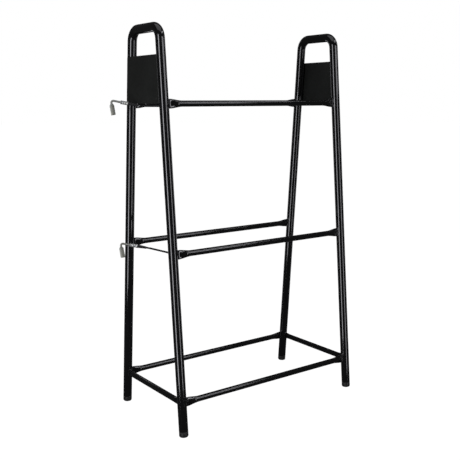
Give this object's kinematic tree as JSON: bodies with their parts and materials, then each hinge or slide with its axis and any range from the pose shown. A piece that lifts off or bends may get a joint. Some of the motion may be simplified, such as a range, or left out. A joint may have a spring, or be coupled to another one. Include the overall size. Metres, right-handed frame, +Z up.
{
  "type": "three-level work rack",
  "caption": "Open upright rack with two inverted-U tube ends, pairs of rails at low, middle and top level, hand-holds, and swivelling hook arms on one end.",
  "frame": {"origin": "on the floor, midway between the four feet", "axes": "+Z up, +X along the rails away from the hook arms, -Y the front, where the hook arms are fixed"},
  "size_m": [0.6966, 0.3354, 1.077],
  "materials": {
    "frame_coat": "gloss",
    "rail_coat": "gloss",
    "plate_coat": "satin",
    "foot_plastic": "moulded",
    "bush_plastic": "moulded",
    "rod_coat": "satin",
    "sleeve_rubber": "moulded",
    "zinc_plate": "bright zinc",
    "hardware_steel": "plain"
  },
  "bodies": {
    "frame": {"left_end_tube": "frame_coat", "right_end_tube": "frame_coat", "left_end_plate": "plate_coat", "right_end_plate": "plate_coat", "front_bottom_rail": "rail_coat", "rear_bottom_rail": "rail_coat", "front_middle_rail": "rail_coat", "rear_middle_rail": "rail_coat", "front_top_rail": "rail_coat", "rear_top_rail": "rail_coat", "left_base_bar": "rail_coat", "right_base_bar": "rail_coat", "front_left_foot": "foot_plastic", "rear_left_foot": "foot_plastic", "front_right_foot": "foot_plastic", "rear_right_foot": "foot_plastic", "upper_arm_bush": "bush_plastic", "middle_arm_bush": "bush_plastic"},
    "upper_arm": {"upper_arm_rod": "rod_coat", "upper_arm_sleeve": "sleeve_rubber", "upper_arm_ferrule": "zinc_plate", "upper_arm_hook": "zinc_plate", "upper_arm_washer": "hardware_steel", "upper_arm_nut": "hardware_steel"},
    "middle_arm": {"middle_arm_rod": "rod_coat", "middle_arm_sleeve": "sleeve_rubber", "middle_arm_ferrule": "zinc_plate", "middle_arm_hook": "zinc_plate", "middle_arm_washer": "hardware_steel", "middle_arm_nut": "hardware_steel"}
  },
  "joints": [
    {"name": "upper_arm_swivel", "type": "hinge", "parent": "frame", "child": "upper_arm", "pos_m": [-0.3, -0.08546, 0.866], "axis": [-0.1045, 0.9945, 0], "range_deg": [-100, 12]},
    {"name": "middle_arm_swivel", "type": "hinge", "parent": "frame", "child": "middle_arm", "pos_m": [-0.3, -0.11595, 0.489], "axis": [-0.1045, 0.9945, 0], "range_deg": [-100, 12]}
  ]
}
